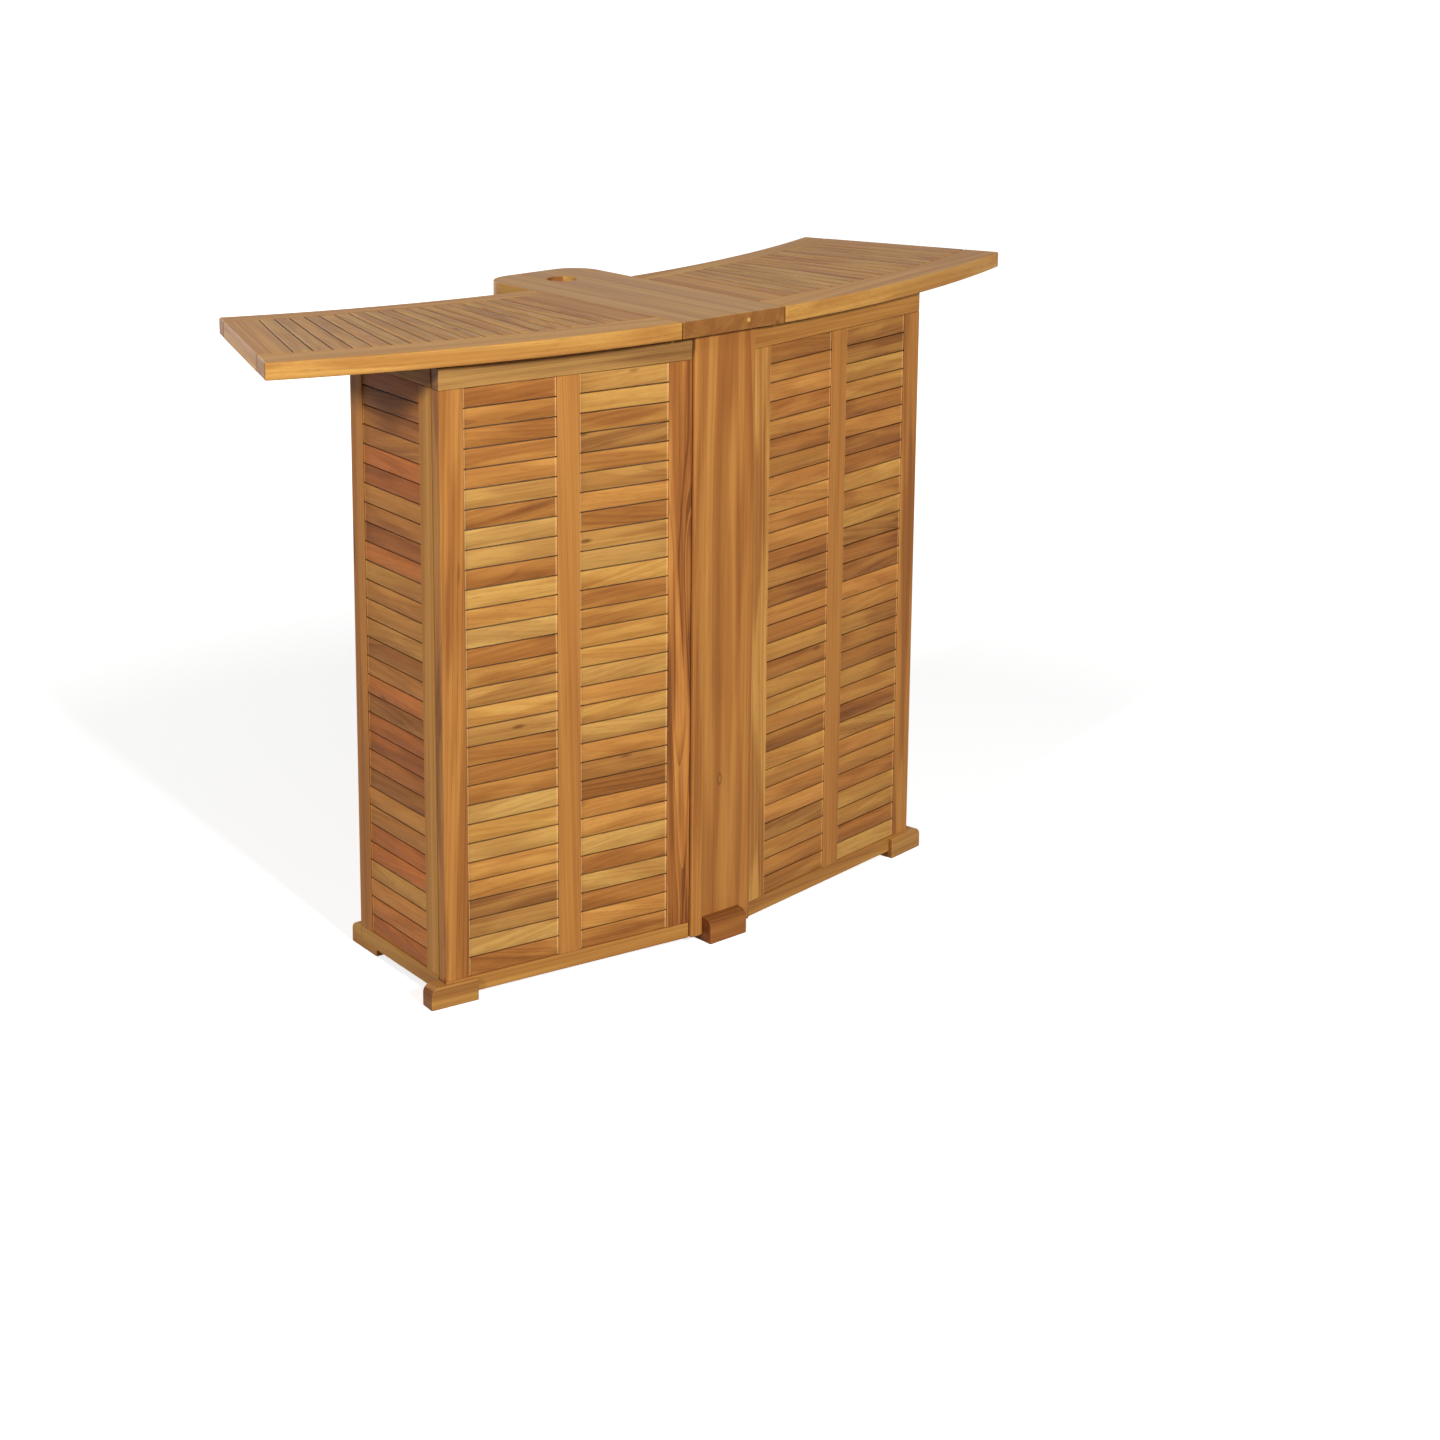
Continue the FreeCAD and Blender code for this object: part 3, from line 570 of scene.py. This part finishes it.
# Gives every slat its own tone and tint, and its own place in the tree that it was cut from.
def addOwnWood(tree, geometry, given):
    toneDraw = addNode(tree, "FunctionNodeRandomValue", {2: given["Palest"], 3: given["Darkest"],
                                                         "Seed": given["Seed"]})
    hueSeed = addNode(tree, "ShaderNodeMath", {0: given["Seed"], 1: slatLook["hueSeedStep"]},
                      operation="ADD").outputs[0]
    hueDraw = addNode(tree, "FunctionNodeRandomValue", {2: given["Reddest"], 3: given["Greenest"],
                                                        "Seed": hueSeed})
    shiftDraw = addNode(tree, "FunctionNodeRandomValue", {0: slatLook["shiftLow"], 1: slatLook["shiftHigh"],
                                                          "Seed": given["Seed"]}, data_type="FLOAT_VECTOR")
    for name, value, kind in (("tone", toneDraw.outputs[1], "FLOAT"), ("hue", hueDraw.outputs[1], "FLOAT"),
                              ("shift", shiftDraw.outputs[0], "FLOAT_VECTOR")):
        geometry = addNode(tree, "GeometryNodeStoreNamedAttribute", {"Geometry": geometry, "Name": name,
                                                                     "Value": value},
                           domain="INSTANCE", data_type=kind).outputs[0]
    geometry = addNode(tree, "GeometryNodeRealizeInstances", {"Geometry": geometry}).outputs[0]
    grain, shift = (addNode(tree, "GeometryNodeInputNamedAttribute", {"Name": name},
                            data_type="FLOAT_VECTOR").outputs[0] for name in ("grain", "shift"))
    along = addNode(tree, "ShaderNodeSeparateXYZ", {0: grain}).outputs["X"]
    leanDraw = addNode(tree, "ShaderNodeSeparateXYZ", {0: shift}).outputs["Z"]
    lean = addNode(tree, "ShaderNodeMath", {0: along, 1: leanDraw}, operation="MULTIPLY").outputs[0]
    slope = addNode(tree, "ShaderNodeCombineXYZ", {"Y": lean, "Z": lean}).outputs[0]
    leaning = addNode(tree, "ShaderNodeVectorMath", {0: grain, 1: slope}, operation="ADD").outputs[0]
    total = addNode(tree, "ShaderNodeVectorMath", {0: leaning, 1: shift}, operation="ADD").outputs[0]
    return addNode(tree, "GeometryNodeStoreNamedAttribute", {
        "Geometry": geometry, "Name": "grain", "Value": total}, data_type="FLOAT_VECTOR").outputs[0]


def span(node, direction):
    reach = [v.co.dot(direction) for v in frame["nodes"][node].data.vertices]
    return min(reach), max(reach)


columnTree = slatTree()
for sideName, side in sides.items():
    for label, seed in slatLook["seeds"].items():
        node = sideName + "_" + label
        kind = label.split("_")[0]
        run = runOf(kind, side)
        hue, hueSpread = slatLook["hues"][kind][side], slatLook["hueSpread"][kind]
        deep = run.cross(Vector((0, 0, 1)))
        (start, end), (front, back), (low, high) = (span(node, d) for d in (run, deep, Vector((0, 0, 1))))
        pitch = (high - low + slatLook["gap"]) / slatLook["count"]
        height = pitch - slatLook["gap"]
        origin = run * start + deep * ((front + back) / 2) + Vector((0, 0, low + height / 2))
        mesh = grow(columnTree, "wood_" + node, {
            "Count": slatLook["count"], "Pitch": pitch, "Length": end - start, "Thickness": back - front,
            "Height": height, "Arris": slatLook["arris"], "Tip": slatLook["tipped"],
            "Palest": slatLook["palest"], "Darkest": slatLook["darkest"], "Reddest": hue - hueSpread,
            "Greenest": hue + hueSpread, "Seed": seed + side, "Origin": origin,
            "Turn": (0, 0, math.atan2(run.y, run.x))})
        addPiece("wood_" + node, mesh, teak, bodyOf[node], "teak", node)
print("panel and wing slats made")

# Slats of the leaves: they fan out about the centre of the sweep, from the inner rail to the end rail.
fanLook = dict(count=18, gap=2.5 * mm, seat=0.15 * mm, thickness=15 * mm, arris=0.7 * mm, innerRadius=1.704,
               outerRadius=1.974, innerX=0.175, endRail=0.055, palest=0.43, darkest=0.56, reddest=-0.2,
               greenest=0.15, seed=8)


def fanTree():
    tree, given = newTree("leafFan", {
        "Count": "Int", "Width": "Float", "Thickness": "Float", "Length": "Float", "Arris": "Float",
        "Level": "Float", "Centre": "Float", "Side": "Float", "Palest": "Float", "Darkest": "Float",
        "Reddest": "Float", "Greenest": "Float", "Seed": "Int",
        "First Inner": "Float", "Step Inner": "Float", "Radius Inner": "Float", "Spread Inner": "Float",
        "First Outer": "Float", "Step Outer": "Float", "Radius Outer": "Float", "Spread Outer": "Float"})
    outline = addNode(tree, "GeometryNodeCurvePrimitiveQuadrilateral", {"Width": given["Width"],
                                                                       "Height": given["Thickness"]})
    eased = addNode(tree, "GeometryNodeFilletCurve", {"Curve": outline.outputs[0], "Count": 2,
                                                      "Radius": given["Arris"]}, mode="POLY")
    line = addNode(tree, "GeometryNodeCurvePrimitiveLine", {"End": (1, 0, 0)})
    slat = addNode(tree, "GeometryNodeCurveToMesh", {
        "Curve": line.outputs[0], "Profile Curve": eased.outputs[0], "Fill Caps": True})
    place = addNode(tree, "GeometryNodeInputPosition").outputs[0]
    long = addNode(tree, "ShaderNodeCombineXYZ", {"X": given["Length"], "Y": 1.0, "Z": 1.0})
    grain = addNode(tree, "ShaderNodeVectorMath", {0: place, 1: long.outputs[0]}, operation="MULTIPLY")
    slat = addNode(tree, "GeometryNodeStoreNamedAttribute", {
        "Geometry": slat.outputs[0], "Name": "grain", "Value": grain.outputs[0]}, data_type="FLOAT_VECTOR")
    row = addNode(tree, "GeometryNodeMeshLine", {"Count": given["Count"], "Offset": (0, 0, 0)})
    marked = markGaps(tree, slat.outputs[0], "Y")
    placed = addNode(tree, "GeometryNodeInstanceOnPoints", {"Points": row.outputs[0], "Instance": marked})
    number = addNode(tree, "GeometryNodeInputIndex").outputs[0]
    numbered = addNode(tree, "GeometryNodeStoreNamedAttribute", {
        "Geometry": placed.outputs[0], "Name": "slat", "Value": number}, domain="INSTANCE")
    moved = addOwnWood(tree, numbered.outputs[0], given)
    slatNumber = addNode(tree, "GeometryNodeInputNamedAttribute", {"Name": "slat"},
                         data_type="FLOAT").outputs[0]
    middle = addNode(tree, "ShaderNodeMath", {0: slatNumber, 1: 0.5}, operation="ADD").outputs[0]
    parts = addNode(tree, "ShaderNodeSeparateXYZ", {0: place}).outputs
    ends = []
    for end in ("Inner", "Outer"):
        turn = addNode(tree, "ShaderNodeMath", {0: middle, 1: given["Step " + end], 2: given["First " + end]},
                       operation="MULTIPLY_ADD").outputs[0]
        sided = addNode(tree, "ShaderNodeMath", {0: turn, 1: given["Side"]}, operation="MULTIPLY").outputs[0]
        angle = addNode(tree, "ShaderNodeMath", {0: parts["Y"], 1: given["Spread " + end], 2: sided},
                        operation="MULTIPLY_ADD").outputs[0]
        sine = addNode(tree, "ShaderNodeMath", {0: angle}, operation="SINE").outputs[0]
        cosine = addNode(tree, "ShaderNodeMath", {0: angle}, operation="COSINE").outputs[0]
        x = addNode(tree, "ShaderNodeMath", {0: sine, 1: given["Radius " + end]},
                    operation="MULTIPLY").outputs[0]
        drop = addNode(tree, "ShaderNodeMath", {0: cosine, 1: given["Radius " + end]},
                       operation="MULTIPLY").outputs[0]
        y = addNode(tree, "ShaderNodeMath", {0: given["Centre"], 1: drop}, operation="SUBTRACT").outputs[0]
        ends.append(addNode(tree, "ShaderNodeCombineXYZ", {"X": x, "Y": y}).outputs[0])
    flat = addNode(tree, "ShaderNodeMix", {0: parts["X"], 4: ends[0], 5: ends[1]},
                   data_type="VECTOR").outputs[1]
    height = addNode(tree, "ShaderNodeMath", {0: parts["Z"], 1: given["Level"]}, operation="ADD").outputs[0]
    lift = addNode(tree, "ShaderNodeCombineXYZ", {"Z": height}).outputs[0]
    spot = addNode(tree, "ShaderNodeVectorMath", {0: flat, 1: lift}, operation="ADD").outputs[0]
    fanned = addNode(tree, "GeometryNodeSetPosition", {"Geometry": moved, "Position": spot})
    endTree(tree, fanned.outputs[0], teak)
    return tree


def fanEnd(label, radius):
    first = math.asin(fanLook["innerX"] / radius)
    last = plan["leafEnd"] - math.asin(fanLook["endRail"] / radius)
    step = (last - first) / fanLook["count"]
    return {"First " + label: first, "Step " + label: step, "Radius " + label: radius}


leafFan = fanTree()
innerRadius = fanLook["innerRadius"] + fanLook["seat"]
outerRadius = fanLook["outerRadius"] - fanLook["seat"]
fanSizes = {**fanEnd("Inner", innerRadius), **fanEnd("Outer", outerRadius)}
fanWidth = fanSizes["Step Outer"] * outerRadius - fanLook["gap"]
for label, radius in (("Inner", innerRadius), ("Outer", outerRadius)):
    fanSizes["Spread " + label] = (fanSizes["Step " + label] * radius - fanLook["gap"]) / fanWidth / radius
for sideName, side in sides.items():
    node = sideName + "_leaf_slats"
    mesh = grow(leafFan, "wood_" + node, {
        **fanSizes, "Count": fanLook["count"], "Width": fanWidth, "Thickness": fanLook["thickness"],
        "Length": outerRadius - innerRadius, "Arris": fanLook["arris"], "Centre": plan["sweepCentre"],
        "Level": plan["topLevel"] - fanLook["thickness"] / 2, "Side": float(side),
        "Palest": fanLook["palest"], "Darkest": fanLook["darkest"], "Reddest": fanLook["reddest"],
        "Greenest": fanLook["greenest"], "Seed": fanLook["seed"] + side})
    addPiece("wood_" + node, mesh, teak, bodyOf[node], "teak", node)
print("leaf slats made")

# Hinges keep their solids. Their screws are countersunk, with a cross slot.
for node, obj in frame["nodes"].items():
    if "hinge" in node:
        obj.data.materials.clear()
        obj.data.materials.append(zinc)
screwLook = dict(radius=3.1 * mm, proud=0.25 * mm, depth=0.6 * mm, slotWidth=0.9 * mm, slotDepth=0.35 * mm,
                 slotReach=1.3, sides=16, reach=(11 * mm, 22 * mm), spacing=21 * mm, seed=4,
                 sideLevels=(0.098, 0.880), middleLevel=0.489, stations=(-0.154, 0.027),
                 sidePlate=2 * mm, leafPlate=1.5 * mm)


def screwTree():
    tree, given = newTree("screwHeads", {"Radius": "Float", "Depth": "Float", "Slot Width": "Float",
                                         "Slot Depth": "Float", "Sides": "Int", "Seed": "Int"})
    head = addNode(tree, "GeometryNodeMeshCylinder", {"Vertices": given["Sides"], "Radius": given["Radius"],
                                                      "Depth": given["Depth"]}).outputs[0]
    high = addNode(tree, "ShaderNodeMath", {0: given["Depth"], 1: 0.5}, operation="MULTIPLY").outputs[0]
    level = addNode(tree, "ShaderNodeCombineXYZ", {"Z": high}).outputs[0]
    deep = addNode(tree, "ShaderNodeMath", {0: given["Slot Depth"], 1: 2.0}, operation="MULTIPLY").outputs[0]
    reach = addNode(tree, "ShaderNodeMath", {0: given["Radius"], 1: screwLook["slotReach"]},
                    operation="MULTIPLY").outputs[0]
    for axes in (("X", "Y"), ("Y", "X")):
        block = addNode(tree, "ShaderNodeCombineXYZ", {axes[0]: reach, axes[1]: given["Slot Width"],
                                                       "Z": deep})
        slot = addNode(tree, "GeometryNodeMeshCube", {"Size": block.outputs[0]}).outputs[0]
        raised = addNode(tree, "GeometryNodeTransform", {"Geometry": slot, "Translation": level}).outputs[0]
        head = addNode(tree, "GeometryNodeMeshBoolean", {"Mesh 1": head, "Mesh 2": raised},
                       operation="DIFFERENCE", solver="EXACT").outputs[0]
    facing = addNode(tree, "GeometryNodeInputNamedAttribute", {"Name": "facing"},
                     data_type="FLOAT_VECTOR").outputs[0]
    stand = addNode(tree, "FunctionNodeAlignRotationToVector", {"Vector": facing}, axis="Z").outputs[0]
    spin = addNode(tree, "FunctionNodeRandomValue", {2: 0.0, 3: math.pi / 2,
                                                     "Seed": given["Seed"]}).outputs[1]
    about = addNode(tree, "ShaderNodeCombineXYZ", {"Z": spin}).outputs[0]
    turned = addNode(tree, "FunctionNodeRotateRotation", {0: stand, 1: about},
                     rotation_space="LOCAL").outputs[0]
    placed = addNode(tree, "GeometryNodeInstanceOnPoints", {"Points": given["Geometry"], "Instance": head,
                                                            "Rotation": turned})
    endTree(tree, placed.outputs[0], zinc)
    return tree


def plateScrews(points, axisPoint, run, facing, lift, levelAxis, levels):
    sink = screwLook["proud"] - screwLook["depth"] / 2
    for level in levels:
        for row, along in enumerate((-1, 0, 1)):
            out = screwLook["reach"][row % 2]
            spot = axisPoint + run * out + facing * (lift + sink)
            points.append((spot + levelAxis * (level + along * screwLook["spacing"]), facing))


up = Vector((0, 0, 1))
screws = {body: [] for body in frame["bodies"]}
for sideName, side in sides.items():
    panelAxis, wingAxis = jointAt[sideName + "_panel_fold"].copy(), jointAt[sideName + "_wing_fold"].copy()
    panelAxis.z = wingAxis.z = 0
    panelRun, wingRun = runOf("panel", side), runOf("wing", side)
    panelIn, wingIn = (side * up.cross(run) for run in (panelRun, wingRun))
    sideLift = -screwLook["sidePlate"]
    outer, inner, back = Vector((side, 0, 0)), Vector((-side, 0, 0)), Vector((0, 1, 0))
    wingLevels = screwLook["sideLevels"]
    panelLevels = wingLevels + (screwLook["middleLevel"],)
    plateScrews(screws["centre_stand"], panelAxis, inner, back, sideLift, up, panelLevels)
    plateScrews(screws[sideName + "_panel"], panelAxis, panelRun, panelIn, sideLift, up, panelLevels)
    plateScrews(screws[sideName + "_panel"], wingAxis, -panelRun, panelIn, sideLift, up, wingLevels)
    plateScrews(screws[sideName + "_wing"], wingAxis, wingRun, wingIn, sideLift, up, wingLevels)
    leafAxis = jointAt[sideName + "_leaf_lift"].copy()
    leafAxis.y = 0
    for body, run in (("centre_stand", inner), (sideName + "_leaf", outer)):
        plateScrews(screws[body], leafAxis, run, -up, -screwLook["leafPlate"], back, screwLook["stations"])

headTree = screwTree()
for body, points in screws.items():
    base = bpy.data.meshes.new("screws_" + body + "_places")
    base.from_pydata([spot for spot, facing in points], [], [])
    base.attributes.new("facing", "FLOAT_VECTOR", "POINT").data.foreach_set(
        "vector", [c for spot, facing in points for c in facing])
    mesh = grow(headTree, "screws_" + body, {
        "Radius": screwLook["radius"], "Depth": screwLook["depth"], "Slot Width": screwLook["slotWidth"],
        "Slot Depth": screwLook["slotDepth"], "Sides": screwLook["sides"], "Seed": screwLook["seed"]}, base)
    addPiece("screws_" + body, mesh, zinc, body, "hinge_metal")
print("screws made:", sum(len(points) for points in screws.values()))

# Pale floor: the camera sees it lifted to white, with the table's own soft shadow left in it.
stageLook = dict(size=60.0, drop=0.3 * mm, floor="#EDEDEC", bounce="#727272", nearLift=0.60, farLift=1.0,
                 near=1.4, far=3.5, ambient=0.05)


# 1 for the rays that show the background: to the camera, through glass and off metal.
def seenShare(tree):
    paths = addNode(tree, "ShaderNodeLightPath").outputs
    seen = paths["Is Camera Ray"]
    for path in ("Is Transmission Ray", "Is Glossy Ray"):
        seen = addNode(tree, "ShaderNodeMath", {0: seen, 1: paths[path]}, operation="MAXIMUM").outputs[0]
    return seen


def makeStage():
    material = bpy.data.materials.new("paleFloor")
    material.use_nodes = True
    tree = material.node_tree
    tree.nodes.clear()
    seen = seenShare(tree)
    place = addNode(tree, "ShaderNodeTexCoord").outputs["Object"]
    out = addNode(tree, "ShaderNodeVectorMath", {0: place}, operation="LENGTH").outputs["Value"]
    level = addNode(tree, "ShaderNodeMapRange", {
        "Value": out, "From Min": stageLook["near"], "From Max": stageLook["far"],
        "To Min": stageLook["nearLift"], "To Max": stageLook["farLift"]})
    lift = addNode(tree, "ShaderNodeMath", {0: seen, 1: level.outputs[0]}, operation="MULTIPLY")
    colour = addNode(tree, "ShaderNodeMix", {0: seen, 6: linear(stageLook["bounce"]),
                                             7: linear(stageLook["floor"])}, data_type="RGBA")
    paint = addNode(tree, "ShaderNodeBsdfDiffuse", {"Color": colour.outputs[2]})
    glow = addNode(tree, "ShaderNodeEmission", {"Strength": lift.outputs[0]})
    both = addNode(tree, "ShaderNodeAddShader", {0: paint.outputs[0], 1: glow.outputs[0]})
    addNode(tree, "ShaderNodeOutputMaterial", {"Surface": both.outputs[0]})
    half, under = stageLook["size"] / 2, -stageLook["drop"]
    corners = [(-half, -half, under), (half, -half, under), (half, half, under), (-half, half, under)]
    mesh = bpy.data.meshes.new("floor")
    mesh.from_pydata(corners, [], [(0, 1, 2, 3)])
    mesh.materials.append(material)
    floor = bpy.data.objects.new("floor", mesh)
    scene.collection.objects.link(floor)

    world = bpy.data.worlds.new("studio")
    world.use_nodes = True
    tree = world.node_tree
    tree.nodes.clear()
    level = addNode(tree, "ShaderNodeMath", {0: seenShare(tree), 1: stageLook["ambient"]},
                    operation="MAXIMUM")
    sky = addNode(tree, "ShaderNodeBackground", {"Color": (1, 1, 1, 1), "Strength": level.outputs[0]})
    addNode(tree, "ShaderNodeOutputWorld", {"Surface": sky.outputs[0]})
    scene.world = world


# Soft boxes: place, target, width in metres and power in watts.
lampLooks = {"frontBox": dict(at=(-1.22, -6.38, 3.40), aim=(0, -0.1, 0.55), width=0.8, power=416),
             "sideBox": dict(at=(-6.22, -1.77, 3.29), aim=(0, -0.1, 0.55), width=0.85, power=258),
             "backBox": dict(at=(0.4, 6.4, 2.1), aim=(0, 0, 0.6), width=4.0, power=150)}


def makeLamps():
    for name, look in lampLooks.items():
        light = bpy.data.lights.new(name, "AREA")
        light.shape = "SQUARE"
        light.size = look["width"]
        light.energy = look["power"]
        lamp = bpy.data.objects.new(name, light)
        lamp.location = look["at"]
        lamp.rotation_euler = (Vector(look["aim"]) - Vector(look["at"])).to_track_quat("-Z", "Y").to_euler()
        scene.collection.objects.link(lamp)


# The photograph's viewpoint, for a 1440 by 1440 image.
cameraLook = dict(at=(-2.8920, -3.3892, 1.8299), right=math.radians(39.979), down=math.radians(12.723),
                  focal=2766.1, centre=(604.6, 424.3), frame=1440, sensor=36.0, clipEnd=200)


def makeCamera():
    look = cameraLook
    data = bpy.data.cameras.new("viewpoint")
    data.sensor_width = look["sensor"]
    data.lens = look["focal"] / look["frame"] * look["sensor"]
    data.shift_x = (look["frame"] / 2 - look["centre"][0]) / look["frame"]
    data.shift_y = (look["centre"][1] - look["frame"] / 2) / look["frame"]
    data.clip_end = look["clipEnd"]
    camera = bpy.data.objects.new("viewpoint", data)
    camera.location = look["at"]
    camera.rotation_euler = (math.pi / 2 - look["down"], 0, -look["right"])
    scene.collection.objects.link(camera)
    scene.camera = camera


makeStage()
makeLamps()
makeCamera()
scene.view_settings.view_transform = "Standard"
print("stage, lamps and camera set")
